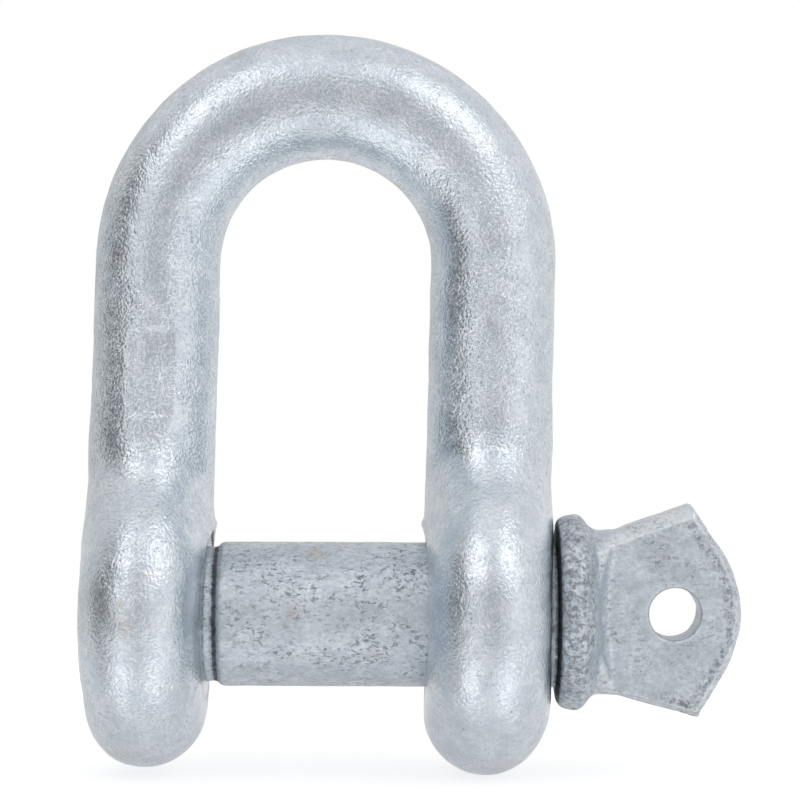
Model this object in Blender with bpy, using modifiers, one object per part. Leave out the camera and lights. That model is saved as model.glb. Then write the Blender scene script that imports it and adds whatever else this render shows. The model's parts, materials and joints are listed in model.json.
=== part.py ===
"""A forged, galvanised screw-pin D shackle: a U-shaped body with two eared ends, and its screw pin.

Both parts are modelled about the middle of the jaw: +X along the pin towards its eye, +Z towards the crown.
An empty carries them to the shackle's own frame, whose origin is under the middle of the box they fill.
"""

import math

import bmesh
import bpy
from mathutils import Vector

# Driving sizes, in metres
BAR_D = 0.01905
JAW_OPENING = 0.0330
LEG_OPENING = 0.0324
CROWN_HEIGHT = 0.0538  # of the crown's centre above the pin's axis
EAR_R = 0.0240
EAR_THICKNESS = 0.0194
PIN_D = 0.0220
THREAD_D = 0.0204
THREAD_PITCH = 0.0025
COLLAR_D = 0.0300
COLLAR_WIDTH = 0.0060
LUG_THICKNESS = 0.0090
LUG_REACH = 0.0655  # from the middle of the jaw to the lug's far edge
EYE_D = 0.0083
EYE_X = 0.0552

# Clearances
GAP = 0.0003
COLLAR_GAP = 0.0005  # between the collar and the ear's rounded side
PIN_HOLE_PLAY = 0.0006  # on the radius, in the plain ear
THREAD_PLAY = 0.0003  # on the radius, between the two threads' crests
CUT_MARGIN = 0.0005  # how far a cutter stands clear of the wall that it opens

# Body
BAR_R = BAR_D / 2
JAW_FACE_X = JAW_OPENING / 2
EAR_OUTER_X = JAW_FACE_X + EAR_THICKNESS
EAR_X = JAW_FACE_X + EAR_THICKNESS / 2
LEG_X = LEG_OPENING / 2 + BAR_R
FACING_R = 0.0170  # of the round flat cut on each ear's inner side
EAR_STOCK = 0.0009  # forged stock that the facing cut takes off
EAR_CROWN = 0.0012  # how much an ear's sides round off towards its front and back
LEG_FOOT_Z = 0.0100  # the leg's bar ends inside the ear, this far above the pin's axis
SIDE_BLEND = 0.0010  # leg into ear, along the pin
FACE_BLEND = 0.0110  # leg into ear, across the pin
HOLE_CHAMFER = 0.0006
POINTS_AROUND = 32
HALVINGS = 40  # of the search for the blank's skin

# Pin
PIN_R = PIN_D / 2
PIN_TIP_X = -EAR_OUTER_X + GAP
TIP_CHAMFER = 0.0012
SHOULDER_X = -JAW_FACE_X + 0.0013
SHOULDER_CHAMFER = 0.0007
THREAD_R = THREAD_D / 2
THREAD_RUNOUT = 0.0030  # plain neck between the shoulder and the thread
THREAD_GROOVE_WIDTH = 0.0020
THREAD_ROOT_WIDTH = 0.0004
FLANK_SLOPE = math.tan(math.radians(30))
THREAD_DEPTH = (THREAD_GROOVE_WIDTH - THREAD_ROOT_WIDTH) / 2 / FLANK_SLOPE
COLLAR_R = COLLAR_D / 2
COLLAR_ROUND = 0.0016
COLLAR_FACE_X = EAR_OUTER_X + COLLAR_GAP
COLLAR_BACK_X = COLLAR_FACE_X + COLLAR_WIDTH
NECK_R = 0.0124
NECK_LENGTH = 0.0050  # from the collar's back to where the round neck has run into the lug
NECK_END_R = 0.0090
LUG_ROOT = (0.0452, 0.0120)
LUG_CORNER = (0.0579, 0.0161)
LUG_SHOULDER = (0.0602, 0.0129)
LUG_EDGE_ROUND = 0.0008
FLAT_END_R = 0.0270  # rounded inner end of the lug's two flats
FLAT_START_X = COLLAR_BACK_X + 0.0007

# The shackle's frame: its origin is under the middle of the box
PIN_AXIS_HEIGHT = EAR_R
JAW_MIDDLE_X = (EAR_OUTER_X - LUG_REACH) / 2

ZINC = (0.62, 0.65, 0.68, 1.0)
ZINC_DULL = (0.50, 0.53, 0.56, 1.0)


def clear_scene():
    for obj in list(bpy.data.objects):
        bpy.data.objects.remove(obj, do_unlink=True)


def new_collection(name):
    collection = bpy.data.collections.new(name)
    bpy.context.scene.collection.children.link(collection)
    return collection


def zinc_material(name, colour, roughness):
    material = bpy.data.materials.new(name)
    material.use_nodes = True
    shader = material.node_tree.nodes["Principled BSDF"]
    shader.inputs["Base Color"].default_value = colour
    shader.inputs["Metallic"].default_value = 0.9
    shader.inputs["Roughness"].default_value = roughness
    return material


def place(name, mesh, collection, frame):
    obj = bpy.data.objects.new(name, mesh)
    obj.parent = frame
    collection.objects.link(obj)
    return obj


def evaluated_mesh(obj, name):
    """The object's mesh after its modifiers, in the object's parent space. The object is removed."""
    bpy.context.view_layer.update()
    graph = bpy.context.evaluated_depsgraph_get()
    mesh = bpy.data.meshes.new_from_object(obj.evaluated_get(graph))
    mesh.name = name
    mesh.transform(obj.matrix_basis)
    bpy.data.objects.remove(obj, do_unlink=True)
    return mesh


def smoothstep(low, high, value):
    t = min(max((value - low) / (high - low), 0.0), 1.0)
    return t * t * (3.0 - 2.0 * t)


def smooth_union(a, b, width):
    """The distance to two solids joined by a fillet, from the distance to each."""
    overlap = max(width - abs(a - b), 0.0) / width
    return min(a, b) - overlap * overlap * width / 4


def blank_distance(x, y, z):
    """How far a point stands off the forged blank's leg and ear. X here points away from the jaw."""
    half = EAR_THICKNESS / 2
    core_r = EAR_R - half
    radius = math.hypot(y, z)
    off = x - EAR_X
    squeeze = 1.0 if off > 0 else half / (half + EAR_STOCK)
    squeeze += EAR_CROWN / half * min(abs(y) / core_r, 1.0) ** 2
    ear = math.hypot(max(radius - core_r, 0.0), off * squeeze) - half
    leg = math.hypot(math.hypot(x - LEG_X, y), max(LEG_FOOT_Z - z, 0.0)) - BAR_R
    facing = math.sin(math.atan2(y, off)) ** 2
    return smooth_union(ear, leg, SIDE_BLEND + (FACE_BLEND - SIDE_BLEND) * facing)


def leg_ring(height):
    """A ring of points on the blank's skin round the leg or ear at this height."""
    middle = EAR_X + (LEG_X - EAR_X) * smoothstep(LEG_FOOT_Z, EAR_R, height)
    ring = []
    for i in range(POINTS_AROUND):
        angle = 2 * math.pi * i / POINTS_AROUND
        low, high = 0.0, EAR_R + BAR_R
        for _ in range(HALVINGS):
            reach = (low + high) / 2
            x, y = middle + reach * math.cos(angle), reach * math.sin(angle)
            if blank_distance(x, y, height) < 0:
                low = reach
            else:
                high = reach
        ring.append(Vector((middle + low * math.cos(angle), low * math.sin(angle), height)))
    return ring


def crown_ring(turn):
    """A ring of the round bar at this turn of the crown, from 0 over the right leg to pi over the left."""
    ring = []
    for i in range(POINTS_AROUND):
        angle = 2 * math.pi * i / POINTS_AROUND
        radius = LEG_X + BAR_R * math.cos(angle)
        x, z = radius * math.cos(turn), CROWN_HEIGHT + radius * math.sin(turn)
        ring.append(Vector((x, BAR_R * math.sin(angle), z)))
    return ring


def body_blank_mesh():
    """The forged blank: a loft of rings from the right ear's bottom, over the crown, to the left ear's."""
    ear_steps, blend_steps, leg_steps, crown_steps = 11, 13, 3, 16
    blend_top = EAR_R + FACE_BLEND
    heights = [-EAR_R * math.cos(math.pi / 2 * (i + 1) / (ear_steps + 1)) for i in range(ear_steps)]
    heights += [blend_top * i / blend_steps for i in range(blend_steps)]
    heights += [blend_top + (CROWN_HEIGHT - blend_top) * i / leg_steps for i in range(leg_steps)]
    right = [leg_ring(height) for height in heights]
    crown = [crown_ring(math.pi * i / crown_steps) for i in range(crown_steps + 1)]
    left = [[Vector((-p.x, p.y, p.z)) for p in ring] for ring in reversed(right)]
    rings = right + crown + left

    bm = bmesh.new()
    loops = [[bm.verts.new(point) for point in ring] for ring in rings]
    for lower, upper in zip(loops, loops[1:]):
        for i in range(POINTS_AROUND):
            j = (i + 1) % POINTS_AROUND
            bm.faces.new((lower[i], lower[j], upper[j], upper[i]))
    for loop, side in ((loops[0], 1), (loops[-1], -1)):
        tip = bm.verts.new((side * EAR_X, 0.0, -EAR_R))
        for i in range(POINTS_AROUND):
            bm.faces.new((loop[i], tip, loop[(i + 1) % POINTS_AROUND]))
    bmesh.ops.recalc_face_normals(bm, faces=bm.faces)
    mesh = bpy.data.meshes.new("shackle_body")
    bm.to_mesh(mesh)
    bm.free()
    return mesh


def turned_mesh(name, profile, segments):
    """A solid turned about X from (x, radius) points, which run from the low end to the high end."""
    bm = bmesh.new()
    points = [bm.verts.new((radius, 0.0, x)) for x, radius in reversed(profile)]
    for a, b in zip(points, points[1:]):
        bm.edges.new((a, b))
    outline = bpy.data.meshes.new(name)
    bm.to_mesh(outline)
    bm.free()
    obj = bpy.data.objects.new(name, outline)
    bpy.context.scene.collection.objects.link(obj)
    screw = obj.modifiers.new("Turn", "SCREW")
    screw.axis = "Z"
    screw.steps = screw.render_steps = segments
    screw.use_merge_vertices = True
    screw.merge_threshold = 0.00001
    obj.rotation_euler = (0.0, math.pi / 2, 0.0)
    return evaluated_mesh(obj, name)


def thread_groove_mesh(name, wall_radius, side, start_x, turns):
    """A helical V groove's solid, open at wall_radius and running outward (side 1) or inward (side -1)."""
    mouth = THREAD_GROOVE_WIDTH / 2 + CUT_MARGIN / 2 * FLANK_SLOPE
    section = [
        (wall_radius - side * CUT_MARGIN / 2, -mouth),
        (wall_radius - side * CUT_MARGIN / 2, mouth),
        (wall_radius + side * THREAD_DEPTH, THREAD_ROOT_WIDTH / 2),
        (wall_radius + side * THREAD_DEPTH, -THREAD_ROOT_WIDTH / 2),
    ]
    bm = bmesh.new()
    points = [bm.verts.new((radius, 0.0, x)) for radius, x in section]
    for i, point in enumerate(points):
        bm.edges.new((point, points[(i + 1) % len(points)]))
    outline = bpy.data.meshes.new(name)
    bm.to_mesh(outline)
    bm.free()
    obj = bpy.data.objects.new(name, outline)
    bpy.context.scene.collection.objects.link(obj)
    screw = obj.modifiers.new("Helix", "SCREW")
    screw.axis = "Z"
    screw.steps = screw.render_steps = 24
    screw.screw_offset = THREAD_PITCH
    screw.iterations = turns
    obj.rotation_euler = (0.0, math.pi / 2, 0.0)
    obj.location.x = start_x
    mesh = evaluated_mesh(obj, name)
    bm = bmesh.new()
    bm.from_mesh(mesh)
    bmesh.ops.holes_fill(bm, edges=[edge for edge in bm.edges if edge.is_boundary])
    bmesh.ops.recalc_face_normals(bm, faces=bm.faces)
    bm.to_mesh(mesh)
    bm.free()
    return mesh


def cylinder_mesh(name, radius, depth, middle, axis, segments):
    bm = bmesh.new()
    bmesh.ops.create_cone(bm, cap_ends=True, segments=segments, radius1=radius, radius2=radius, depth=depth)
    turn = Vector((0.0, 0.0, 1.0)).rotation_difference(Vector(axis)).to_matrix()
    bmesh.ops.rotate(bm, verts=bm.verts, matrix=turn)
    bmesh.ops.translate(bm, verts=bm.verts, vec=Vector(middle))
    mesh = bpy.data.meshes.new(name)
    bm.to_mesh(mesh)
    bm.free()
    return mesh


def lug_outline():
    """The lug's outline in the XZ plane, from its root inside the collar round to its root again."""
    shoulder_x, shoulder_z = LUG_SHOULDER
    chord = LUG_REACH - shoulder_x
    nose_r = (shoulder_z**2 + chord**2) / (2 * chord)
    half_turn = math.asin(shoulder_z / nose_r)
    steps = 14
    nose = []
    for i in range(steps + 1):
        turn = half_turn * (1 - 2 * i / steps)
        nose.append((LUG_REACH - nose_r + nose_r * math.cos(turn), nose_r * math.sin(turn)))
    top = [(COLLAR_FACE_X + COLLAR_ROUND, LUG_ROOT[1]), LUG_ROOT, LUG_CORNER]
    bottom = [(x, -z) for x, z in reversed(top)]
    return top + nose + bottom


def lug_plate_mesh():
    curve = bpy.data.curves.new("lug_plate", "CURVE")
    curve.dimensions = "2D"
    curve.fill_mode = "BOTH"
    curve.extrude = LUG_THICKNESS / 2
    outline = lug_outline()
    spline = curve.splines.new("POLY")
    spline.points.add(len(outline) - 1)
    for point, (x, z) in zip(spline.points, outline):
        point.co = (x, z, 0.0, 1.0)
    spline.use_cyclic_u = True
    obj = bpy.data.objects.new("lug_plate", curve)
    bpy.context.scene.collection.objects.link(obj)
    obj.rotation_euler = (math.pi / 2, 0.0, 0.0)
    mesh = evaluated_mesh(obj, "lug_plate")
    bm = bmesh.new()
    bm.from_mesh(mesh)
    bmesh.ops.remove_doubles(bm, verts=bm.verts, dist=0.000001)
    bmesh.ops.recalc_face_normals(bm, faces=bm.faces)
    bm.to_mesh(mesh)
    bm.free()
    return mesh


def make_cutter(name, mesh, collection, frame):
    cutter = place(name, mesh, collection, frame)
    cutter.hide_render = True
    cutter.display_type = "WIRE"
    return cutter


def boolean(obj, operation, other):
    modifier = obj.modifiers.new(other.name, "BOOLEAN")
    modifier.operation = operation
    modifier.object = other
    modifier.solver = "EXACT"


def shade(obj, material):
    obj.data.materials.append(material)
    obj.data.shade_smooth()
    obj.data.set_sharp_from_angle(angle=math.radians(35))


def arc(centre, radius, first, last, steps):
    """Points round an arc, between two angles in degrees."""
    points = []
    for i in range(steps + 1):
        angle = math.radians(first + (last - first) * i / steps)
        points.append((centre[0] + radius * math.cos(angle), centre[1] + radius * math.sin(angle)))
    return points


def build_body(collection, cutters, frame):
    body = place("shackle_body", body_blank_mesh(), collection, frame)
    shade(body, zinc_material("galvanised_body", ZINC, 0.42))

    facing = cylinder_mesh("facing_cut", FACING_R, JAW_OPENING, (0, 0, 0), (1, 0, 0), 48)
    boolean(body, "DIFFERENCE", make_cutter("facing_cut", facing, cutters, frame))

    hole_r = PIN_R + PIN_HOLE_PLAY
    hole_profile = [
        (JAW_FACE_X - CUT_MARGIN, 0.0),
        (JAW_FACE_X - CUT_MARGIN, hole_r + HOLE_CHAMFER + CUT_MARGIN),
        (JAW_FACE_X + HOLE_CHAMFER, hole_r),
        (EAR_OUTER_X + CUT_MARGIN, hole_r),
        (EAR_OUTER_X + CUT_MARGIN, 0.0),
    ]
    plain_hole = turned_mesh("pin_hole_cut", hole_profile, 48)
    boolean(body, "DIFFERENCE", make_cutter("pin_hole_cut", plain_hole, cutters, frame))

    tapped_r = THREAD_R + THREAD_PLAY
    mouth_r = tapped_r + THREAD_DEPTH + GAP
    mouth = mouth_r - tapped_r
    tapped_profile = [
        (-EAR_OUTER_X - CUT_MARGIN, 0.0),
        (-EAR_OUTER_X - CUT_MARGIN, mouth_r + CUT_MARGIN),
        (-EAR_OUTER_X + mouth, tapped_r),
        (-JAW_FACE_X - mouth, tapped_r),
        (-JAW_FACE_X + CUT_MARGIN, mouth_r + CUT_MARGIN),
        (-JAW_FACE_X + CUT_MARGIN, 0.0),
    ]
    tapped_hole = turned_mesh("tapped_hole_cut", tapped_profile, 48)
    boolean(body, "DIFFERENCE", make_cutter("tapped_hole_cut", tapped_hole, cutters, frame))

    turns = math.ceil(EAR_THICKNESS / THREAD_PITCH) + 1
    start_x = -EAR_X - turns * THREAD_PITCH / 2
    thread = thread_groove_mesh("ear_thread_cut", tapped_r, 1, start_x, turns)
    boolean(body, "DIFFERENCE", make_cutter("ear_thread_cut", thread, cutters, frame))


def pin_profile():
    """The turned pin's outline from its threaded tip to the neck inside the lug."""
    rim_r = COLLAR_R - COLLAR_ROUND
    shank = [
        (PIN_TIP_X, 0.0),
        (PIN_TIP_X, THREAD_R - TIP_CHAMFER),
        (PIN_TIP_X + TIP_CHAMFER, THREAD_R),
        (SHOULDER_X, THREAD_R),
        (SHOULDER_X + SHOULDER_CHAMFER, PIN_R),
        (COLLAR_FACE_X, PIN_R),
    ]
    face_round = arc((COLLAR_FACE_X + COLLAR_ROUND, rim_r), COLLAR_ROUND, 180, 90, 3)
    back_round = arc((COLLAR_BACK_X - COLLAR_ROUND * 1.5, rim_r), COLLAR_ROUND, 90, 30, 3)
    neck = [
        (COLLAR_BACK_X, NECK_R),
        (LUG_ROOT[0], NECK_R),
        (COLLAR_BACK_X + NECK_LENGTH, NECK_END_R),
        (COLLAR_BACK_X + NECK_LENGTH, 0.0),
    ]
    return shank + face_round + back_round + neck


def build_pin(collection, cutters, frame):
    pin = place("screw_pin", turned_mesh("screw_pin", pin_profile(), 48), collection, frame)
    shade(pin, zinc_material("galvanised_pin", ZINC_DULL, 0.55))

    for side, label in ((-1, "front"), (1, "back")):
        name = f"lug_flat_cut_{label}"
        middle_y = side * (LUG_THICKNESS / 2 - GAP + NECK_R / 2)
        middle = (FLAT_START_X + FLAT_END_R, middle_y, 0)
        flat = cylinder_mesh(name, FLAT_END_R, NECK_R, middle, (0, 1, 0), 64)
        boolean(pin, "DIFFERENCE", make_cutter(name, flat, cutters, frame))

    plate = make_cutter("lug_plate", lug_plate_mesh(), cutters, frame)
    bevel = plate.modifiers.new("Edge", "BEVEL")
    bevel.width = LUG_EDGE_ROUND
    bevel.segments = 2
    bevel.limit_method = "ANGLE"
    bevel.angle_limit = math.radians(60)
    boolean(pin, "UNION", plate)

    eye = cylinder_mesh("eye_cut", EYE_D / 2, LUG_THICKNESS * 2, (EYE_X, 0, 0), (0, 1, 0), 32)
    boolean(pin, "DIFFERENCE", make_cutter("eye_cut", eye, cutters, frame))

    start_x = PIN_TIP_X - THREAD_PITCH
    turns = math.floor((SHOULDER_X - THREAD_RUNOUT - start_x) / THREAD_PITCH)
    thread = thread_groove_mesh("pin_thread_cut", THREAD_R, -1, start_x, turns)
    boolean(pin, "DIFFERENCE", make_cutter("pin_thread_cut", thread, cutters, frame))


def main():
    clear_scene()
    parts = new_collection("screw_pin_d_shackle")
    cutters = new_collection("cutters")
    frame = bpy.data.objects.new("jaw_middle", None)
    frame.location = (JAW_MIDDLE_X, 0.0, PIN_AXIS_HEIGHT)
    parts.objects.link(frame)
    build_body(parts, cutters, frame)
    build_pin(parts, cutters, frame)


main()
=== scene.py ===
"""The looks of the screw-pin D shackle: a hot-dip galvanised forging and its screw pin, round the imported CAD.

Each piece is described by a distance field in millimetres about the middle of the jaw, with +X along the pin
towards its eye and +Z towards the crown. The field is meshed, and the mesh is roughened as forged zinc is.
"""

import itertools
import json
import math

import bmesh
import bpy
import numpy as np
from mathutils import Matrix, Vector


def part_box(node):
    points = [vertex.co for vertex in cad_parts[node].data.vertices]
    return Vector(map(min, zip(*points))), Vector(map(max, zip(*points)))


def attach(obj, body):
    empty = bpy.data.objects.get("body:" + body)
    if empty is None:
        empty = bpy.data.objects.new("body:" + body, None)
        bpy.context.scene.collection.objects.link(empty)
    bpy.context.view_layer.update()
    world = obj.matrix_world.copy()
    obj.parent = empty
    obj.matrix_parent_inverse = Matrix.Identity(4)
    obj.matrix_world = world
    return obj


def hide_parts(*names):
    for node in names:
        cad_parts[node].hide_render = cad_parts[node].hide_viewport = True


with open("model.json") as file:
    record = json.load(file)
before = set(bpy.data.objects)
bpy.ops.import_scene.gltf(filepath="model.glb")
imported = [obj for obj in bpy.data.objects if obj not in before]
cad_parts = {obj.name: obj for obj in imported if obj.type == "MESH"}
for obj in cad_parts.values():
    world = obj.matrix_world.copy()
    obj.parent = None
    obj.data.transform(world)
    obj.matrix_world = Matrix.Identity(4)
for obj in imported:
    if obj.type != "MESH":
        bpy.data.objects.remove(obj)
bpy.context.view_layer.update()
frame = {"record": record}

MM = 1000.0  # millimetres in a metre

# Places and main sizes, from the frame
body_low, body_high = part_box("shackle_body")
pin_low, pin_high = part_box("screw_pin")
mount_place = {mount["name"]: Vector(mount["pos_m"]) for mount in frame["record"]["mounts"]}
left_face_x = mount_place["jaw_face_tapped_ear"].x
right_face_x = mount_place["jaw_face_plain_ear"].x
JAW_MIDDLE = Vector(((left_face_x + right_face_x) / 2, 0.0, (pin_low.z + pin_high.z) / 2))
JAW_FACE = (right_face_x - left_face_x) / 2 * MM
EAR_R = (JAW_MIDDLE.z - body_low.z) * MM
EAR_THICKNESS = (body_high.x - right_face_x) * MM
EAR_OUTER = JAW_FACE + EAR_THICKNESS
HEAD_SEAT = 0.8  # the visual pin is screwed home, and the CAD's keeps a gap
LUG_SHORTER = 0.3  # than the CAD's
LUG_REACH = (pin_high.x - JAW_MIDDLE.x) * MM - HEAD_SEAT - LUG_SHORTER
PIN_TIP_X = (pin_low.x - JAW_MIDDLE.x) * MM + HEAD_SEAT

# Body, in millimetres
BAR_R = 9.525
LEG_INSET = 0.3  # of the legs' inner sides, within the jaw's faces
LEG_X = JAW_FACE - LEG_INSET + BAR_R
CROWN_LOWER = 0.15  # than the CAD's
CROWN_Z = (body_high.z - JAW_MIDDLE.z) * MM - LEG_X - BAR_R - CROWN_LOWER
LEAN = math.tan(math.radians(1.3))  # the forging leans this much along the pin
LEAN_MIDDLE_Z = 16.2  # where the lean moves nothing sideways
LEAN_LOW_Z = -6.0  # the lean runs between these two heights
LEAN_TOP_Z = 56.0
EAR_FACE = JAW_FACE + 0.1  # the forged inner side, which the round facing cut trues up
LEFT_EAR = (EAR_THICKNESS - 0.8, EAR_R - 0.5)  # thickness and radius
RIGHT_EAR = (EAR_THICKNESS - 0.2, EAR_R + 0.45)
EAR_CROWN = 0.6  # how much thinner an ear is towards its front and back
LEFT_DOME = (0.90, 0.006, 1.5, 14.0)  # of the outer face: how proud, how curved, middle's height, reach
RIGHT_DOME = (0.35, 0.0027, -3.0, 21.0)
DOME_SQUEEZE = 0.6  # of the dome's curve from front to back
LEG_SWELL = (0.36, 25.0, 6.5)  # outward above the ear: how much, at what height, over how far
LEG_FOOT_Z = 4.0  # the legs end at this height, inside the ears
INNER_BLEND = 1.0  # between ear and leg, on the jaw's side, the outer side, and front and back
OUTER_BLEND = 2.6
FACE_BLEND = 7.5
FACING_R = 13.2
LEFT_FACING_EXTRA = 0.55  # the tapped ear is faced this much deeper
FACING_EDGE = 0.6
BURR = 0.45  # the ridge left on the facing's upper edge
BURR_WIDTH = 0.65
BURR_END = 1.2  # radians from the top
PIN_HOLE_R = 11.5
HOLE_EDGE = 0.9
PAD_Z = 37.0  # middle of a blank pressed pad on the left leg's front
PAD_HALF = (2.0, 5.5)
PAD_ROUND = 1.0
PAD_EDGE = 1.0
PAD_DEPTH = 0.36
PAD_LIP = (0.05, 0.6)  # height and width
THREAD_ALLOWANCE = 0.22  # between the two threads, on the radius
COUNTERSINK = 1.0  # of the tapped hole's outer mouth
COUNTERSINK_X = EAR_FACE + LEFT_EAR[0] + LEFT_DOME[0]  # left of the jaw's middle

# Pin, in millimetres
PIN_R = 11.05
THREAD_R = 10.2
PITCH = 2.5
THREAD_MOUTH_HALF = 1.0  # half the thread groove's width, at the crests and at the root
THREAD_ROOT_HALF = 0.2
THREAD_DEPTH = 1.386
THREAD_RUNOUT = 3.0
THREAD_BLEND = 0.3
TIP_CHAMFER = (1.2, 0.7)  # how far in on the radius, and how steep
TIP_EDGE = 0.6
SHOULDER_X = -JAW_FACE + 1.4
SHOULDER_EDGE = 0.9
SHOULDER_BLEND = 0.6
GROOVE_R = 10.15  # a rounded groove in front of the shoulder
GROOVE_HALF_WIDTH = 1.0
GROOVE_FLARE = 0.35
PART_LAP = 1.0  # how far the pin's parts run into each other
HEAD_RISE = 0.45  # of the forged head's middle above the shank's axis
COLLAR_R = 15.1
COLLAR_FACE_X = EAR_OUTER + 0.4
COLLAR_BEVEL = (14.2, 0.5, 0.87)  # of the collar's face: the radius it starts at, and its slope's two parts
COLLAR_BACK = (40.15, 14.9)  # X and radius where the collar's back begins to slope
COLLAR_BACK_END = (41.9, 12.5)
COLLAR_CUT = 0.3  # the collar ends this far before the flat starts
COLLAR_EDGES = (0.8, 1.0, 0.9, 0.8)  # roundings of the rim, the bevel, the back and the end
NECK_R = 12.4
NECK_SQUEEZE = 1.35  # the neck is this much thinner from front to back
NECK_TAPER = ((45.0, 12.4), (47.6, 8.6))
NECK_EDGE = 0.6
HEAD_BLEND = 0.5  # between head and shank
LUG_HALF = 4.5
FLAT_START_X = 42.5
FLAT_END_R = 26.0
FLAT_SINK = 1.0  # how far the neck's flats lie below the lug's
FLAT_EDGE = 1.2
FILLET_LEAST = 1.2
FILLET = 2.8  # how much further the collar runs into the flat, between these two heights
FILLET_Z = (5.0, 10.0)
LUG_TOP_ROOT = (44.2, 12.3)
LUG_TOP_CORNER = (56.7, 16.75)
LUG_BOTTOM_ROOT = (44.8, -12.25)
LUG_BOTTOM_CORNER = (57.9, -15.8)
LUG_TUCK = (2.0, 1.0)  # how far the lug's outline runs in under the collar, along X and Z
NOSE_R = 17.3
NOSE_END_Z = 9.4
NOSE_STEPS = 16
CORNER_ROUND = 0.45
LUG_EDGE = 0.5
TOP_SLOPE = 2.1  # widths of the sloping bands along the lug's top edge and all round
TOP_FALL = 0.9  # the top band's fall for each millimetre of width
RIM_SLOPE = 0.95
EYE = (54.3, 0.0)
EYE_R = 3.97
EYE_EDGE = 0.6

# Meshing, in millimetres
BODY_STEP = 0.54  # of the grid that the body is meshed on
PIN_STEP = 0.37
GRID_MARGIN = 1.5
SLAB = 24  # grid layers that are worked out at a time
GRADIENT_STEP = 0.04
LEAST_STEEP = 0.05  # a slope's square is taken as at least this
EVEN_SHARE = 0.4  # how far points move towards their neighbours' middle in each round
WEAR_SHARE = 0.7
WEAR_FLOOR = 0.05
LATTICE_SIDE = 24

# Relief in millimetres: height, size and seed of each layer of bumps
BODY_BUMPS = ((0.09, 11.0, 1), (0.05, 4.5, 2), (0.04, 1.5, 3))
PIN_BUMPS = ((0.12, 5.0, 4), (0.08, 1.9, 5))
PITS = (0.40, 1.3, 6)
PIT_LEVEL = 0.2
PIN_ROUGH = (0.3, 0.7, -0.45)  # share of the bumps beyond the shoulder, and what the head and the lug add

# Marks on the skin, with painted shade and painted highlights, for the attribute that carries them. Lengths are
# in millimetres.
EAR_GRIME = (0.30, 9.0, 12.0)  # round the ears' rims: how much, over what height, and at what depth in full
WALL_SHADE = (1.8, 0.7)  # in the wall of the tapped ear's facing: how much and how wide
WALL_DEPTHS = (-0.05, 1.0)  # from the jaw's face into the ear
COLLAR_MARK = 0.95
LUG_MARK = 0.15
PITTED_MARK = (0.75, 1.9)  # along the lug's bottom edge: how much and how wide
SMUDGE = (0.85, 0.8, 1.0)  # along the rim: how much, how far in and how wide
SMUDGE_X = (50.0, 55.0)  # it grows between these two
BAND_SOFTNESS = (0.15, 0.1)  # of the edges of the lug's two sloping bands
PAINTED_HIGHLIGHT_TOP = 0.55  # how bright the painted highlight is on the top band, the rim and the gussets behind the collar
PAINTED_HIGHLIGHT_RIM = 0.2
PAINTED_HIGHLIGHT_GUSSET = 0.4
PAINTED_HIGHLIGHT_LEAST = 0.05
FACE_SHADE = (2.0, 0.7)  # under the collar: how much and how wide
GROOVE_SHADE = (1.5, 1.6, 0.5)  # in the groove: how much, how flat-topped and how wide


def smooth_min(a, b, width):
    """The lesser of two distances, rounded over where they are within width of each other."""
    overlap = np.maximum(width - np.abs(a - b), 0.0) / width
    return np.minimum(a, b) - overlap * overlap * width / 4


def smooth_max(a, b, width):
    """The greater of two distances, rounded in the same way."""
    return -smooth_min(-a, -b, width)


def slope_beyond(u, v, start, end):
    """How far points lie beyond the line from start to end, on its right-hand side."""
    along = np.array([end[0] - start[0], end[1] - start[1]])
    along = along / np.linalg.norm(along)
    return (u - start[0]) * along[1] - (v - start[1]) * along[0]


def thread_radius(x, y, z):
    """The pin thread's radius: a right-hand V groove along X."""
    turn = np.arctan2(z, y) / (2 * math.pi)
    from_root = np.abs((x / PITCH - turn + 0.5) % 1.0 - 0.5) * PITCH
    cut = np.clip((THREAD_MOUTH_HALF - from_root) / (THREAD_MOUTH_HALF - THREAD_ROOT_HALF), 0.0, 1.0)
    return THREAD_R - cut * THREAD_DEPTH


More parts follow.
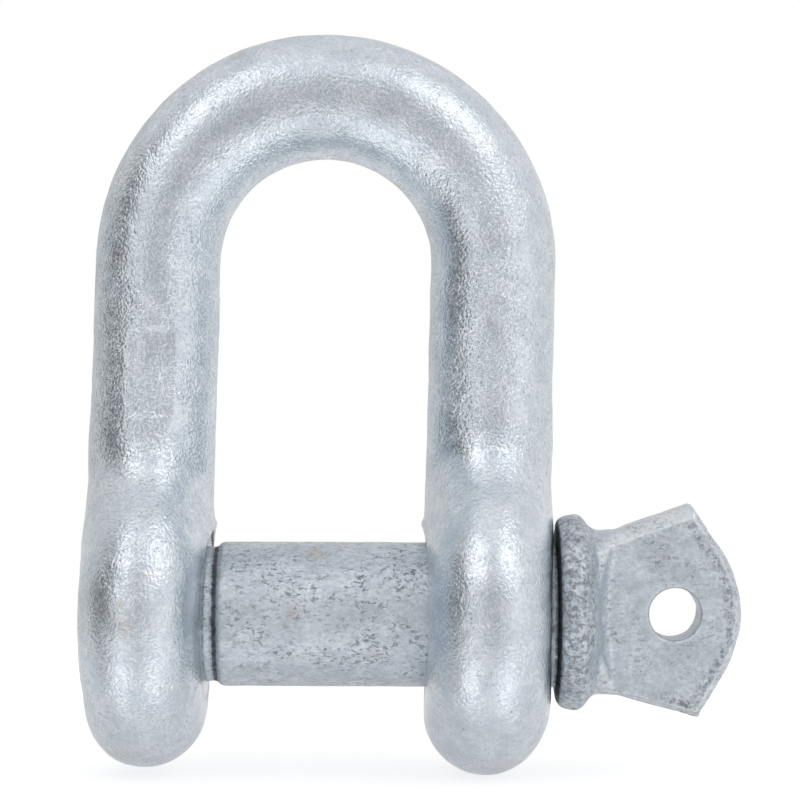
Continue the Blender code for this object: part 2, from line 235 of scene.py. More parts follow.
def body_distance(x, y, z):
    """Two domed ears joined to a bent bar, faced in the jaw, tapped on the left and bored on the right."""
    upright = x - LEAN * (np.clip(z, LEAN_LOW_Z, LEAN_TOP_Z) - LEAN_MIDDLE_Z)
    left = upright < 0
    away = np.abs(upright)
    half = np.where(left, LEFT_EAR[0], RIGHT_EAR[0]) / 2
    ear_r = np.where(left, LEFT_EAR[1], RIGHT_EAR[1])
    off = away - EAR_FACE - half
    radius = np.hypot(y, z)
    domes = []
    for proud, curve, middle, reach in (LEFT_DOME, RIGHT_DOME):
        ring = np.minimum(np.hypot(y * DOME_SQUEEZE, z - middle), reach)
        domes.append(proud - curve * ring**2)
    dome = np.where(left, domes[0], domes[1])
    core_r = ear_r - half
    squeeze = 1.0 + EAR_CROWN / half * np.minimum(np.abs(y) / core_r, 1.0) ** 2
    squeeze = squeeze * np.where(off > 0, half / (half + dome), 1.0)
    ear = np.hypot(np.maximum(radius - core_r, 0.0), off * squeeze) - half

    outward = np.clip((away - LEG_X) / BAR_R, 0.0, 1.0)
    swell = LEG_SWELL[0] * np.exp(-(((z - LEG_SWELL[1]) / LEG_SWELL[2]) ** 2)) * outward
    leg = np.hypot(np.hypot(away - LEG_X, y), np.maximum(LEG_FOOT_Z - z, 0.0)) - BAR_R - swell
    crown = np.hypot(np.hypot(upright, z - CROWN_Z) - LEG_X, y) - BAR_R
    bar = np.where(z > CROWN_Z, crown, leg)
    facing_share = y**2 / (y**2 + off**2 + 1e-6)
    side_blend = np.where(off > 0, OUTER_BLEND, INNER_BLEND)
    blank = smooth_min(ear, bar, side_blend + (FACE_BLEND - side_blend) * facing_share)

    from_top = np.arctan2(np.abs(y), z)
    ridge = BURR * np.exp(-(((radius - FACING_R - BURR_WIDTH) / BURR_WIDTH) ** 2))
    blank = blank - ridge * np.clip(BURR_END - from_top, 0.0, 1.0) * (off < 0)
    jaw = np.maximum(radius - FACING_R, np.maximum(x - JAW_FACE, -x - JAW_FACE - LEFT_FACING_EXTRA))
    faced = smooth_max(blank, -jaw, FACING_EDGE)
    countersink = THREAD_R + COUNTERSINK - np.abs(x + COUNTERSINK_X)
    tapped_r = np.maximum(thread_radius(x, y, z) + THREAD_ALLOWANCE, countersink)
    hole_r = np.where(x < 0, tapped_r, PIN_HOLE_R)
    return smooth_max(faced, hole_r - radius, HOLE_EDGE)


def lug_outline():
    """The lug's outline in the XZ plane, anticlockwise from its bottom root."""
    centre_x = LUG_REACH - NOSE_R
    turn = math.asin(NOSE_END_Z / NOSE_R)
    nose = []
    for i in range(NOSE_STEPS + 1):
        angle = turn * (2 * i / NOSE_STEPS - 1)
        nose.append((centre_x + NOSE_R * math.cos(angle), NOSE_R * math.sin(angle)))
    inner_x = COLLAR_BACK[0] - LUG_TUCK[0]
    start = [(inner_x, LUG_BOTTOM_ROOT[1] + LUG_TUCK[1]), LUG_BOTTOM_ROOT, LUG_BOTTOM_CORNER]
    finish = [LUG_TOP_CORNER, LUG_TOP_ROOT, (inner_x, LUG_TOP_ROOT[1] - LUG_TUCK[1])]
    return start + nose + finish


def polygon_distance(u, v, corners):
    """The signed distance to a polygon, negative inside."""
    u, v = np.broadcast_arrays(u, v)
    nearest = np.full(u.shape, 1e9)
    inside = np.zeros(u.shape, bool)
    for (u0, v0), (u1, v1) in zip(corners, corners[1:] + corners[:1]):
        du, dv = u1 - u0, v1 - v0
        t = np.clip(((u - u0) * du + (v - v0) * dv) / (du * du + dv * dv), 0.0, 1.0)
        nearest = np.minimum(nearest, (u - u0 - t * du) ** 2 + (v - v0 - t * dv) ** 2)
        if dv != 0:
            crosses = ((v0 > v) != (v1 > v)) & (u < u0 + (v - v0) * du / dv)
            inside ^= crosses
    return np.where(inside, -1.0, 1.0) * np.sqrt(nearest)


def bar_distance(x, radius, bar_r, start, end):
    """Distance to a round bar along X."""
    beyond = np.abs(x - (start + end) / 2) - (end - start) / 2
    proud = radius - bar_r
    outside = np.hypot(np.maximum(beyond, 0.0), np.maximum(proud, 0.0))
    return outside + np.minimum(np.maximum(beyond, proud), 0.0)


def lug_distance(x, y, z):
    """The flat lug, with its sloping top edge and rim."""
    outline = polygon_distance(x, z, lug_outline())
    top_edge = slope_beyond(x, z, LUG_TOP_CORNER, LUG_TOP_ROOT)
    top_slope = np.maximum(top_edge + TOP_SLOPE, 0.0) * TOP_FALL
    rim_slope = np.maximum(outline + RIM_SLOPE, 0.0)
    plate = np.abs(y) - LUG_HALF + np.maximum(top_slope, rim_slope)
    return smooth_max(outline + CORNER_ROUND, plate + CORNER_ROUND, LUG_EDGE) - CORNER_ROUND


def head_distance(x, y, z):
    """The collar, the neck behind it and the flat lug, about the head's own middle."""
    radius = np.hypot(y, z)
    rim_edge, bevel_edge, back_edge, end_edge = COLLAR_EDGES
    bevel_r, bevel_along, bevel_outward = COLLAR_BEVEL
    bevel = (COLLAR_FACE_X - x) * bevel_along + (radius - bevel_r) * bevel_outward
    collar = smooth_max(radius - COLLAR_R, COLLAR_FACE_X - x, rim_edge)
    collar = smooth_max(collar, bevel, bevel_edge)
    collar = smooth_max(collar, slope_beyond(x, radius, COLLAR_BACK_END, COLLAR_BACK), back_edge)
    collar = smooth_max(collar, x - FLAT_START_X + COLLAR_CUT, end_edge)

    oval = np.hypot(y * NECK_SQUEEZE, z)
    taper = slope_beyond(x, oval, NECK_TAPER[1], NECK_TAPER[0])
    neck = smooth_max(np.maximum(oval - NECK_R, COLLAR_FACE_X + PART_LAP - x), taper, NECK_EDGE)
    flat_end = np.hypot(x - FLAT_START_X - FLAT_END_R, z) - FLAT_END_R
    flats = np.maximum(flat_end, LUG_HALF - FLAT_SINK - np.abs(y))
    neck = smooth_max(neck, -flats, FLAT_EDGE)

    middle = np.clip((FILLET_Z[1] - np.abs(z)) / (FILLET_Z[1] - FILLET_Z[0]), 0.0, 1.0)
    fillet = FILLET_LEAST + FILLET * middle
    head = smooth_min(smooth_min(collar, neck, FILLET_LEAST), lug_distance(x, y, z), fillet)
    eye = EYE_R - np.hypot(x - EYE[0], z - EYE[1])
    return smooth_max(head, eye, EYE_EDGE)


def pin_distance(x, y, z):
    """The threaded end, the grooved neck, the shank and the head."""
    radius = np.hypot(y, z)
    groove = np.clip((SHOULDER_X - THREAD_RUNOUT - x) / PITCH, 0.0, 1.0)
    threaded_r = THREAD_R + (thread_radius(x, y, z) - THREAD_R) * groove
    tip = PIN_TIP_X - x + (radius - THREAD_R + TIP_CHAMFER[0]) * TIP_CHAMFER[1]
    threaded = bar_distance(x, radius, threaded_r, PIN_TIP_X, SHOULDER_X + PART_LAP)
    threaded = smooth_max(threaded, tip, TIP_EDGE)
    ends = np.maximum(SHOULDER_X - x, x - COLLAR_FACE_X - PART_LAP)
    shank = smooth_max(radius - PIN_R, ends, SHOULDER_EDGE)
    across = (x - SHOULDER_X) / GROOVE_HALF_WIDTH + 1.0
    neck_r = GROOVE_R + GROOVE_FLARE * np.minimum(across**2, 1.0)
    neck = bar_distance(x, radius, neck_r, SHOULDER_X - 2 * GROOVE_HALF_WIDTH, SHOULDER_X + PART_LAP)
    pin = smooth_min(smooth_min(threaded, neck, THREAD_BLEND), shank, SHOULDER_BLEND)
    return smooth_min(pin, head_distance(x, y, z - HEAD_RISE), HEAD_BLEND)


def grid_field(distance, low, high, step):
    """The distance sampled on a grid, a slab at a time, with the grid's axes."""
    axes = [np.arange(a, b + step, step) for a, b in zip(low, high)]
    y, z = axes[1][None, :, None], axes[2][None, None, :]
    slabs = []
    for i in range(0, len(axes[0]), SLAB):
        x = axes[0][i : i + SLAB][:, None, None]
        slabs.append(distance(x, y, z).astype(np.float32))
    return np.concatenate(slabs), axes


def surface_net(field, axes):
    """A closed mesh of quads on the field's zero surface: one point in each grid cell that it crosses."""
    inside = field < 0
    corners = list(itertools.product((0, 1), repeat=3))
    cells = tuple(n - 1 for n in field.shape)

    def shifted(array, corner):
        return array[tuple(slice(c, c + n) for c, n in zip(corner, cells))]

    count = sum(shifted(inside, corner).astype(np.int8) for corner in corners)
    mixed = (count > 0) & (count < 8)
    where = np.argwhere(mixed)
    index = np.full(cells, -1, np.int64)
    index[mixed] = np.arange(len(where))
    values = {corner: shifted(field, corner)[mixed] for corner in corners}
    total = np.zeros((len(where), 3))
    hits = np.zeros(len(where))
    for a in corners:
        for axis in range(3):
            if a[axis]:
                continue
            b = tuple(1 if i == axis else a[i] for i in range(3))
            crossed = (values[a] < 0) != (values[b] < 0)
            gap = np.where(crossed, values[a] - values[b], 1.0)
            point = np.repeat(np.array([a], float), len(where), axis=0)
            point[:, axis] = values[a] / gap
            total += np.where(crossed[:, None], point, 0.0)
            hits += crossed
    step = axes[0][1] - axes[0][0]
    origin = np.array([axis[0] for axis in axes])
    points = origin + (where + total / hits[:, None]) * step

    quads = []
    for axis in range(3):
        u, v = (axis + 1) % 3, (axis + 2) % 3
        inner = [slice(1, -1)] * 3
        inner[axis] = slice(0, -1)
        ahead = list(inner)
        ahead[axis] = slice(1, None)
        first = inside[tuple(inner)]
        changed = np.argwhere(first != inside[tuple(ahead)])
        opens = first[tuple(changed.T)]
        base = changed + 1
        base[:, axis] -= 1
        ring = []
        for du, dv in ((-1, -1), (0, -1), (0, 0), (-1, 0)):
            cell = base.copy()
            cell[:, u] += du
            cell[:, v] += dv
            ring.append(index[tuple(cell.T)])
        ring = np.stack(ring, axis=1)
        ring[~opens] = ring[~opens][:, ::-1]
        quads.append(ring)
    return points, np.concatenate(quads)


def gradient(distance, points):
    """The direction and rate at which the distance grows at each point."""
    parts = []
    for axis in range(3):
        step = np.zeros(3)
        step[axis] = GRADIENT_STEP
        ahead, behind = points + step, points - step
        parts.append((distance(*ahead.T) - distance(*behind.T)) / (2 * GRADIENT_STEP))
    return np.stack(parts, axis=1)


def settle(distance, points, rounds):
    """Moves points onto the field's zero surface along its gradient."""
    for _ in range(rounds):
        slope = gradient(distance, points)
        steep = np.maximum((slope**2).sum(1), LEAST_STEEP)
        points = points - slope * (distance(*points.T) / steep)[:, None]
    return points


def even_out(points, quads, share):
    """Moves each point some of the way to the middle of its neighbours."""
    total = np.zeros_like(points)
    count = np.zeros(len(points))
    for side in range(4):
        a, b = quads[:, side], quads[:, (side + 1) % 4]
        for start, end in ((a, b), (b, a)):
            for axis in range(3):
                total[:, axis] += np.bincount(start, points[end, axis], len(points))
            count += np.bincount(start, minlength=len(points))
    return points + (total / count[:, None] - points) * share


def lattice_noise(points, size, seed):
    """Smooth noise from -1 to 1, with bumps of about this size."""
    lattice = np.random.default_rng(seed).random((LATTICE_SIDE,) * 3) * 2 - 1
    place = points / size
    cell = np.floor(place).astype(int)
    t = place - cell
    t = t * t * (3 - 2 * t)
    total = np.zeros(len(points))
    for corner in itertools.product((0, 1), repeat=3):
        weight = np.ones(len(points))
        for axis, bit in enumerate(corner):
            weight = weight * (t[:, axis] if bit else 1 - t[:, axis])
        total += weight * lattice[tuple(((cell + corner) % LATTICE_SIDE).T)]
    return total


def ramp(value, low, high):
    """0 up to low, 1 from high on, and straight between."""
    return np.clip((value - low) / (high - low), 0.0, 1.0)


def peak(value, reach):
    """1 where the value is 0, falling straight to 0 at this reach on both sides."""
    return np.clip(1.0 - np.abs(value) / reach, 0.0, 1.0)


def bell(value, width):
    """1 where the value is 0, falling smoothly on both sides."""
    return np.exp(-((value / width) ** 2))


def body_relief(points):
    """Height in millimetres of the pressed pad, the forging's unevenness and the zinc's orange peel."""
    x, y, z = points.T
    across = np.abs(x + LEG_X - LEAN * (z - LEAN_MIDDLE_Z)) - PAD_HALF[0]
    along = np.abs(z - PAD_Z) - PAD_HALF[1]
    pad = np.hypot(np.maximum(across, 0.0), np.maximum(along, 0.0)) - PAD_ROUND
    pressed = np.clip(0.5 - pad / PAD_EDGE, 0.0, 1.0) * (y < 0)
    lip = bell(pad - PAD_EDGE, PAD_LIP[1]) * (y < 0)
    height = PAD_LIP[0] * lip - PAD_DEPTH * pressed
    for rise, size, seed in BODY_BUMPS:
        height = height + rise * lattice_noise(points, size, seed)
    return height


def pin_relief(points):
    """The threaded end is smooth, the shank nearly so, and the forged head rough and pitted."""
    x = points[:, 0]
    head = ramp(x - COLLAR_FACE_X, -0.5, 0.5)
    lug = ramp(x - FLAT_START_X, 0.0, 2.0)
    rough = PIN_ROUGH[0] + PIN_ROUGH[1] * head + PIN_ROUGH[2] * lug
    height = np.zeros(len(points))
    for rise, size, seed in PIN_BUMPS:
        height = height + rise * lattice_noise(points, size, seed)
    depth, size, seed = PITS
    pits = np.maximum(lattice_noise(points, size, seed) - PIT_LEVEL, 0.0)
    return np.where(x < SHOULDER_X, 0.0, rough) * (height - depth * pits * head)


def body_marks_and_painted_shade(points):
    """How rough and dark the skin is: a little on the ears' rims, and most in the facing's wall, where it is
    painted shade.
    """
    x, y, z = points.T
    much, height, full_at = EAR_GRIME
    rim = much * bell(z, height) * ramp(np.abs(y), 0.0, full_at)
    from_wall = np.hypot(y, z) - FACING_R
    depth = -JAW_FACE - x
    in_facing = (depth > WALL_DEPTHS[0]) & (depth < WALL_DEPTHS[1])
    return rim + WALL_SHADE[0] * peak(from_wall, WALL_SHADE[1]) * in_facing


def pin_marks_and_painted_light(points):
    """The collar is roughest and the shank clean. Above 1 is painted dark shade, and below 0 is a painted
    highlight.
    """
    x, y, z = points.T
    rise = z - HEAD_RISE
    outline = polygon_distance(x, rise, lug_outline())
    bottom_edge = slope_beyond(x, rise, LUG_BOTTOM_ROOT, LUG_BOTTOM_CORNER)
    top_edge = slope_beyond(x, rise, LUG_TOP_CORNER, LUG_TOP_ROOT)

    collar = ramp(x - COLLAR_FACE_X, 0.3, 0.8) * ramp(FLAT_START_X - x, 0.0, 1.2)
    lug = ramp(x - FLAT_START_X, -1.0, 1.0)
    pitted = ramp(bottom_edge, -PITTED_MARK[1], 0.0)
    smudge = bell(outline + RIM_SLOPE + SMUDGE[1], SMUDGE[2]) * ramp(x, *SMUDGE_X)
    rough = COLLAR_MARK * collar + lug * (LUG_MARK + PITTED_MARK[0] * pitted + SMUDGE[0] * smudge)

    top_soft, rim_soft = BAND_SOFTNESS
    sloping = ramp(top_edge + TOP_SLOPE, -top_soft, top_soft) * ramp(x - FLAT_START_X, 1.0, 4.0)
    rim = ramp(outline + RIM_SLOPE, -rim_soft, rim_soft) * (rise > LUG_BOTTOM_CORNER[1] + 1.0)
    gusset = np.hypot(x - FLAT_START_X - FLAT_END_R, rise) > FLAT_END_R
    gusset = gusset * ramp(np.abs(rise), 5.0, 8.0) * ramp(x - COLLAR_BACK_END[0], 0.0, 1.0)
    # Painted highlight: the lug's sloping top band, its rim band and the gussets behind the collar are painted
    # lighter.
    painted_highlight = np.maximum(PAINTED_HIGHLIGHT_TOP * sloping, PAINTED_HIGHLIGHT_RIM * rim)
    painted_highlight = np.maximum(painted_highlight, PAINTED_HIGHLIGHT_GUSSET * gusset) * lug

    much, flat_top, width = GROOVE_SHADE
    shade = FACE_SHADE[0] * peak(x - COLLAR_FACE_X, FACE_SHADE[1])
    shade = shade + much * np.clip(flat_top - np.abs(x - SHOULDER_X + width) / width, 0.0, 1.0)
    return np.where(painted_highlight > PAINTED_HIGHLIGHT_LEAST, -painted_highlight, rough) + shade


def vertex_normals(points, quads):
    """Normals from the quads' diagonals, averaged at each point."""
    across = np.cross(points[quads[:, 2]] - points[quads[:, 0]], points[quads[:, 3]] - points[quads[:, 1]])
    total = np.zeros_like(points)
    for corner in range(4):
        for axis in range(3):
            total[:, axis] += np.bincount(quads[:, corner], across[:, axis], len(points))
    return total / np.linalg.norm(total, axis=1)[:, None]


def edge_wear(points, quads, normals):
    """How sharply the skin turns outward (positive) or inward (negative), against the mesh's usual turn."""
    smooth = even_out(points, quads, 1.0)
    spread = np.maximum(((smooth - points) ** 2).sum(1), 1e-9) ** 0.5
    bend = -((smooth - points) * normals).sum(1) / (np.median(spread) + WEAR_FLOOR)
    sample = np.repeat(bend[:, None], 3, axis=1)
    for _ in range(2):
        sample = even_out(sample, quads, WEAR_SHARE)
    return sample[:, 0]


def forged_piece(name, distance, low, high, step, relief, marks_and_painted_light):
    """Meshes a distance field between two corners, roughens it, and marks its edges, its dirty places and its
    painted shade and highlights.
    """
    field, axes = grid_field(distance, low, high, step)
    points, quads = surface_net(field, axes)
    points = settle(distance, points, 2)
    for _ in range(2):
        points = settle(distance, even_out(points, quads, EVEN_SHARE), 1)
    normals = vertex_normals(points, quads)
    wear = edge_wear(points, quads, normals)
    points = points + normals * relief(points)[:, None]
    mesh = bpy.data.meshes.new(name)
    mesh.vertices.add(len(points))
    mesh.vertices.foreach_set("co", (points / MM).astype(np.float32).ravel())
    mesh.loops.add(quads.size)
    mesh.loops.foreach_set("vertex_index", quads.astype(np.int32).ravel())
    mesh.polygons.add(len(quads))
    mesh.polygons.foreach_set("loop_start", np.arange(0, quads.size, 4, dtype=np.int32))
    mesh.update(calc_edges=True)
    mesh.validate()
    mesh.shade_smooth()
    for label, values in (("edge_wear", wear), ("marks_and_painted_light", marks_and_painted_light(points))):
        attribute = mesh.attributes.new(label, "FLOAT", "POINT")
        attribute.data.foreach_set("value", values.astype(np.float32))
    mesh.transform(Matrix.Translation(JAW_MIDDLE))
    obj = bpy.data.objects.new(name, mesh)
    bpy.context.scene.collection.objects.link(obj)
    return obj


class NodeSketch:
    """Short calls for building a material's or world's node tree."""

    def __init__(self, tree):
        self.tree = tree

    def node(self, kind, inputs=None, **settings):
        """Adds a node. Its inputs are keyed by name or number, and each is a socket or a value."""
        made = self.tree.nodes.new(kind)
        for key, value in settings.items():
            setattr(made, key, value)
        for key, value in (inputs or {}).items():
            self.feed(made.inputs[key], value)
        return made

    def feed(self, socket, value):
        if isinstance(value, bpy.types.NodeSocket):
            self.tree.links.new(value, socket)
        else:
            socket.default_value = value

    def math(self, operation, a, b=0.0, c=0.0, clamp=False):
        made = self.node("ShaderNodeMath", operation=operation, use_clamp=clamp)
        for socket, value in zip(made.inputs, (a, b, c)):
            self.feed(socket, value)
        return made.outputs[0]

    def noise(self, place, scale, detail=2.0, roughness=0.5, distortion=0.0):
        inputs = {"Vector": place, "Scale": scale, "Detail": detail}
        inputs.update({"Roughness": roughness, "Distortion": distortion})
        return self.node("ShaderNodeTexNoise", inputs).outputs["Fac"]

    def product(self, first, *others):
        for other in others:
            first = self.math("MULTIPLY", first, other)
        return first

    def pattern(self, place, noise, spread):
        return self.spread(self.noise(place, *noise), *spread)

    def spread(self, value, low, high, to_low=0.0, to_high=1.0):
        """Stretches the range from low to high smoothly to another one, and holds its ends."""
        inputs = {"Value": value, "From Min": low, "From Max": high, "To Min": to_low, "To Max": to_high}
        return self.node("ShaderNodeMapRange", inputs, interpolation_type="SMOOTHSTEP").outputs[0]

    def mix(self, share, a, b):
        made = self.node("ShaderNodeMix", data_type="RGBA")
        self.feed(made.inputs["Factor"], share)
        self.feed(made.inputs[6], a)
        self.feed(made.inputs[7], b)
        return made.outputs[2]


def millimetre_place(sketch, stretch=(1.0, 1.0, 1.0)):
    """Object coordinates in millimetres, so that noise scales read as bumps per millimetre."""
    coordinates = sketch.node("ShaderNodeTexCoord").outputs["Object"]
    scale = [MM * share for share in stretch]
    return sketch.node("ShaderNodeMapping", {"Vector": coordinates, "Scale": scale}).outputs[0]


# Patterns: a noise (bumps per millimetre, detail, roughness, distortion) and the range it is spread to
CLOUDS = ((0.28, 5.0, 0.65, 0.4), (0.38, 0.62))
MOTTLE = ((1.7, 5.0, 0.8), (0.38, 0.62))
FLECK_NOISE = (5.0, 0.8, 0.5)  # its scale is in the look
FLECK_AREAS = ((0.20, 3.0, 0.7), (0.36, 0.64))
BLOTCHES = ((1.1, 6.0, 0.85, 0.3), (0.46, 0.60))
STAINS = ((0.10, 2.0, 0.5), (0.66, 0.72, 0.0, 0.3))
GLOSS = ((0.6, 4.0, 0.7), (0.3, 0.7))
GLOSS_SWING = 0.08
GRAIN_AREAS = ((0.13, 3.0, 0.6), (0.38, 0.62, 0.55, 1.3))
COARSE_GRAIN = (2.1, 1.5, 0.5)
FINE_GRAIN = (3.8, 2.0, 0.6)

SHADE_COLOUR = (0.075, 0.08, 0.09, 1)
STAIN_COLOUR = (0.60, 0.48, 0.40, 1)
EDGE_SHARE = 0.6
PAINTED_HIGHLIGHT_SHARE = 0.8
SHADE_RANGE = (1.0, 1.7)  # of the marks, from skin to full painted shade
MARKED_FLECKS = -1.6  # the marks' own blotches take the flecks' place at this rate
FLECK_DULLNESS = 0.2

# The grain is coarsest on the legs: millimetres above the origin, and the share that the ears and crown keep
EAR_ABOVE = (42.0, 60.0, 0.52, 1.0)
CROWN_BELOW = (84.0, 102.0, 1.0, 0.48)


def zinc_colour(sketch, look, place, drawn, marks_and_painted_light):
    """Clouded zinc with worn bright edges, stains, painted shade and painted highlights. Also gives how
    strongly each point is flecked.
    """
    wear = sketch.node("ShaderNodeAttribute", attribute_name="edge_wear").outputs["Fac"]
    colour = sketch.mix(sketch.pattern(drawn, *CLOUDS), look["dark"], look["light"])
    colour = sketch.mix(sketch.product(sketch.pattern(drawn, *MOTTLE), look["mottle"]), colour, look["shade"])
    edge = sketch.product(sketch.spread(wear, *look["edge"]), EDGE_SHARE)
    colour = sketch.mix(edge, colour, look["wear_and_highlight_colour"])

    fleck = sketch.pattern(drawn, (look["fleck_scale"], *FLECK_NOISE), look["fleck_range"])
    area = sketch.math("ADD", sketch.pattern(place, *FLECK_AREAS), look["fleck_floor"], clamp=True)
    unmarked = sketch.math("MULTIPLY_ADD", marks_and_painted_light, MARKED_FLECKS, c=1.0, clamp=True)
    blotch = sketch.product(sketch.pattern(place, *BLOTCHES), marks_and_painted_light)
    fleck = sketch.math("MAXIMUM", sketch.product(fleck, area, unmarked), blotch)
    colour = sketch.mix(sketch.product(fleck, look["flecks"]), colour, look["fleck_colour"])

    # Painted shade: where the marks rise above 1, the colour darkens towards the shade colour.
    colour = sketch.mix(sketch.spread(marks_and_painted_light, *SHADE_RANGE), colour, SHADE_COLOUR)
    # Painted highlight: where the marks fall below 0, the colour is lightened towards the worn edges' colour.
    painted_highlight = sketch.math("MULTIPLY", marks_and_painted_light, -PAINTED_HIGHLIGHT_SHARE, clamp=True)
    colour = sketch.mix(painted_highlight, colour, look["wear_and_highlight_colour"])
    return sketch.mix(sketch.pattern(place, *STAINS), colour, STAIN_COLOUR), fleck


def zinc_relief(sketch, look, place, fleck):
    """The fine grain and the flecks' pits as a height in millimetres."""
    height_mm = sketch.node("ShaderNodeSeparateXYZ", {0: place}).outputs["Z"]
    on_leg = sketch.product(sketch.spread(height_mm, *EAR_ABOVE), sketch.spread(height_mm, *CROWN_BELOW))
    graininess = sketch.product(sketch.pattern(place, *GRAIN_AREAS), on_leg)
    coarse = sketch.product(sketch.noise(place, *COARSE_GRAIN), look["coarse"], graininess)
    fine = sketch.product(sketch.noise(place, *FINE_GRAIN), look["fine"])
    return sketch.math("SUBTRACT", sketch.math("ADD", coarse, fine), sketch.product(fleck, look["pit"]))


def zinc(name, look):
    """Galvanised steel: clouded zinc with orange peel, fine grain and dark flecks."""
    material = bpy.data.materials.new(name)
    material.use_nodes = True
    sketch = NodeSketch(material.node_tree)
    shader = material.node_tree.nodes["Principled BSDF"]
    place = millimetre_place(sketch)
    drawn = millimetre_place(sketch, look["stretch"])
    marks_and_painted_light = sketch.node("ShaderNodeAttribute", attribute_name="marks_and_painted_light").outputs["Fac"]
    colour, fleck = zinc_colour(sketch, look, place, drawn, marks_and_painted_light)

    noise, spread = GLOSS
    roughness = (look["roughness"] - GLOSS_SWING, look["roughness"] + GLOSS_SWING)
    rough = sketch.pattern(drawn, noise, spread + roughness)
    rough = sketch.math("ADD", rough, sketch.product(fleck, FLECK_DULLNESS * look["flecks"]))

    height = zinc_relief(sketch, look, place, fleck)
    bump = sketch.node("ShaderNodeBump", {"Height": height, "Strength": 1.0, "Distance": 1.0 / MM})

    sketch.feed(shader.inputs["Base Color"], colour)
    sketch.feed(shader.inputs["Metallic"], look["metallic"])
    sketch.feed(shader.inputs["Roughness"], rough)
    sketch.feed(shader.inputs["Normal"], bump.outputs[0])
    return material


BODY_LOOK = {
    "light": (0.78, 0.83, 0.88, 1),
    "dark": (0.67, 0.73, 0.79, 1),
    "shade": (0.50, 0.56, 0.62, 1),
    "mottle": 0.45,
    "edge": (0.25, 0.8),
    # the colour of worn edges, also used for painted highlights
    "wear_and_highlight_colour": (0.72, 0.75, 0.78, 1),
    "fleck_colour": (0.20, 0.21, 0.23, 1),
    "fleck_scale": 2.0,
    "fleck_range": (0.56, 0.64),
    "fleck_floor": 0.3,
    "flecks": 0.45,
    "stretch": (1.0, 1.0, 1.0),
    "roughness": 0.16,
    "coarse": 0.23,
    "fine": 0.04,
    "pit": 0.02,
    "metallic": 1.0,
}
PIN_LOOK = {
    "light": (0.72, 0.78, 0.84, 1),
    "dark": (0.60, 0.66, 0.72, 1),
    "shade": (0.40, 0.43, 0.46, 1),
    "mottle": 0.5,
    # the colour of worn edges, also used for the painted highlight on the lug
    "edge": (0.2, 0.7),
    "wear_and_highlight_colour": (0.76, 0.78, 0.78, 1),
    "fleck_colour": (0.10, 0.10, 0.11, 1),
    "fleck_scale": 1.8,
    "fleck_range": (0.53, 0.62),
    "fleck_floor": 0.1,
    "flecks": 0.62,
    "stretch": (0.6, 1.0, 1.0),
    "roughness": 0.42,
    "coarse": 0.07,
    "fine": 0.06,
    "pit": 0.05,
    "metallic": 0.9,
}


# The tent of light's own brightness, and what its top adds
TENT_BASE = 0.72
TENT_TOP = 0.13
TENT_FOLDS = ((4.5, 2.0, 0.6), (0.35, 0.65, -0.12, 0.12))
# Upright strips: azimuth from the camera's side in degrees, tightness and strength
TENT_STRIPS = ((-77, 16.0, -0.62), (0, 45.0, -0.10), (56, 8.0, 0.26), (-30, 22.0, 0.28), (135, 4.0, 0.16))
# Soft panels: azimuth and height in degrees, tightness and strength
TENT_PANELS = (
    (-46, 44, 26.0, 0.95),
    (46, 44, 26.0, 0.95),
    (-46, -44, 26.0, 1.15),
    (46, -44, 26.0, 1.15),
    (0, 0, 10.0, -0.16),
)


def tent_lobe(sketch, direction, aim, tightness):
    """1 towards aim, falling off smoothly all round."""
    dot = sketch.node("ShaderNodeVectorMath", {0: direction, 1: aim}, operation="DOT_PRODUCT")
    short_of = sketch.math("SUBTRACT", dot.outputs["Value"], 1.0)
    return sketch.math("EXPONENT", sketch.product(short_of, tightness))


def aim_at(azimuth, height=0.0):
    """A direction from the shackle, with azimuth 0 towards the camera."""
    turn, tilt = math.radians(azimuth), math.radians(height)
    return math.sin(turn) * math.cos(tilt), -math.cos(turn) * math.cos(tilt), math.sin(tilt)


def tent_level(sketch, direction):
    """How bright the tent of light is in each direction: soft panels, with a dim strip on the left."""
    rise = sketch.node("ShaderNodeSeparateXYZ", {0: direction}).outputs["Z"]
    flat = {0: direction, 1: (1, 1, 0)}
    level_part = sketch.node("ShaderNodeVectorMath", flat, operation="MULTIPLY").outputs[0]
    heading = sketch.node("ShaderNodeVectorMath", {0: level_part}, operation="NORMALIZE").outputs[0]
    upward = sketch.math("MAXIMUM", rise, 0.0)
    level = sketch.math("ADD", sketch.product(upward, upward, TENT_TOP), TENT_BASE)
    near_level = sketch.math("SUBTRACT", 1.0, sketch.product(rise, rise))
    for azimuth, tightness, strength in TENT_STRIPS:
        lobe = sketch.product(tent_lobe(sketch, heading, aim_at(azimuth), tightness), near_level)
        level = sketch.math("ADD", sketch.product(lobe, strength), level)
    for azimuth, height, tightness, strength in TENT_PANELS:
        lobe = tent_lobe(sketch, direction, aim_at(azimuth, height), tightness)
        level = sketch.math("ADD", sketch.product(lobe, strength), level)
    return sketch.math("ADD", level, sketch.pattern(direction, *TENT_FOLDS))


def light_tent():
    """A pale tent of light. The camera sees plain white, and the metal sees soft bright and dim sides."""
    world = bpy.data.worlds.new("light_tent")
    bpy.context.scene.world = world
    world.use_nodes = True
    tree = world.node_tree
    tree.nodes.clear()
    sketch = NodeSketch(tree)
    level = tent_level(sketch, sketch.node("ShaderNodeTexCoord").outputs["Generated"])
    tint = sketch.node("ShaderNodeCombineColor", {0: level, 1: level, 2: level}).outputs[0]
    seen = sketch.node("ShaderNodeLightPath").outputs["Is Camera Ray"]
    tent = sketch.node("ShaderNodeBackground", {"Color": tint, "Strength": 1.0}).outputs[0]
    plain = sketch.node("ShaderNodeBackground", {"Color": (1, 1, 1, 1), "Strength": 1.0}).outputs[0]
    both = sketch.node("ShaderNodeMixShader", {0: seen, 1: tent, 2: plain}).outputs[0]
    sketch.node("ShaderNodeOutputWorld", {"Surface": both})


FLOOR_R = 0.26
FLOOR_GREY = 0.45
FLOOR_TO_METAL = 0.60  # its glow as a share of the tent's
FLOOR_TO_CAMERA = 0.70


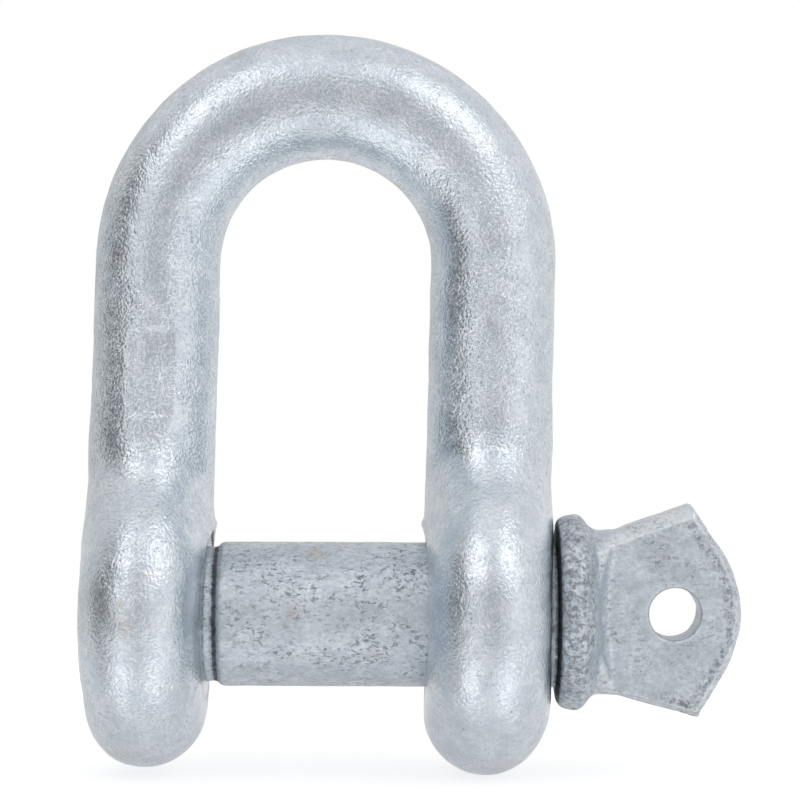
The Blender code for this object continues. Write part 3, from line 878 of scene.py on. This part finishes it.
def pale_floor(height):
    """A pale round floor. It glows white to the camera, and shows the metal the lower half of the tent."""
    mesh = bpy.data.meshes.new("floor")
    bm = bmesh.new()
    bmesh.ops.create_circle(bm, cap_ends=True, segments=96, radius=FLOOR_R)
    bmesh.ops.translate(bm, verts=bm.verts, vec=(0.0, 0.0, height))
    bm.to_mesh(mesh)
    bm.free()
    floor = bpy.data.objects.new("floor", mesh)
    bpy.context.scene.collection.objects.link(floor)
    material = bpy.data.materials.new("pale_floor")
    material.use_nodes = True
    sketch = NodeSketch(material.node_tree)
    shader = material.node_tree.nodes["Principled BSDF"]
    seen = sketch.node("ShaderNodeLightPath").outputs["Is Camera Ray"]
    incoming = sketch.node("ShaderNodeNewGeometry").outputs["Incoming"]
    turned = {0: incoming, 1: (-1, -1, -1)}
    onward = sketch.node("ShaderNodeVectorMath", turned, operation="MULTIPLY").outputs[0]
    hidden = sketch.math("SUBTRACT", 1.0, seen)
    to_metal = sketch.product(tent_level(sketch, onward), FLOOR_TO_METAL, hidden)
    glow = sketch.math("ADD", to_metal, sketch.product(seen, FLOOR_TO_CAMERA))
    sketch.feed(shader.inputs["Base Color"], (FLOOR_GREY, FLOOR_GREY, FLOOR_GREY, 1))
    sketch.feed(shader.inputs["Roughness"], 1.0)
    sketch.feed(shader.inputs["Specular IOR Level"], 0.0)
    sketch.feed(shader.inputs["Emission Color"], (1, 1, 1, 1))
    sketch.feed(shader.inputs["Emission Strength"], glow)
    mesh.materials.append(material)


# Metres and degrees
CAMERA_DISTANCE = 0.430
CAMERA_AIM = Vector((0.01233, 0.0, 0.0329))  # from the jaw's middle
WIDTH_SEEN = 0.12288
CAMERA_ROLL = -0.2


def camera():
    """Square to the pin and level with the middle of the picture, with a slight roll."""
    data = bpy.data.cameras.new("camera")
    data.sensor_width = 36.0
    data.angle = 2 * math.atan(WIDTH_SEEN / 2 / CAMERA_DISTANCE)
    data.clip_end = 50.0
    obj = bpy.data.objects.new("camera", data)
    obj.location = JAW_MIDDLE + CAMERA_AIM + Vector((0.0, -CAMERA_DISTANCE, 0.0))
    obj.rotation_euler = (math.pi / 2, math.radians(CAMERA_ROLL), 0.0)
    bpy.context.scene.collection.objects.link(obj)
    bpy.context.scene.camera = obj


def finished(piece, material, node, body):
    """Gives a piece its material, and has it stand for a CAD node and ride on its body."""
    piece.data.materials.append(material)
    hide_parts(node)
    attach(piece, body)
    return piece


def build_body():
    side = EAR_OUTER + GRID_MARGIN
    reach = EAR_R + GRID_MARGIN
    top = CROWN_Z + LEG_X + BAR_R + GRID_MARGIN
    low, high = (-side, -reach, -reach), (side, reach, top)
    piece = forged_piece("forged_body", body_distance, low, high, BODY_STEP, body_relief, body_marks_and_painted_shade)
    return finished(piece, zinc("galvanised_body", BODY_LOOK), "shackle_body", "body")


def build_pin():
    reach = COLLAR_R + GRID_MARGIN
    low = (PIN_TIP_X - GRID_MARGIN, -reach, LUG_BOTTOM_CORNER[1] - GRID_MARGIN)
    high = (LUG_REACH + GRID_MARGIN, reach, LUG_TOP_CORNER[1] + GRID_MARGIN)
    piece = forged_piece("screw_pin_forged", pin_distance, low, high, PIN_STEP, pin_relief, pin_marks_and_painted_light)
    return finished(piece, zinc("galvanised_pin", PIN_LOOK), "screw_pin", "pin")


forged_body = build_body()
build_pin()
lowest = min((forged_body.matrix_world @ v.co).z for v in forged_body.data.vertices)
pale_floor(lowest)
light_tent()
camera()
bpy.context.scene.view_settings.view_transform = "Standard"
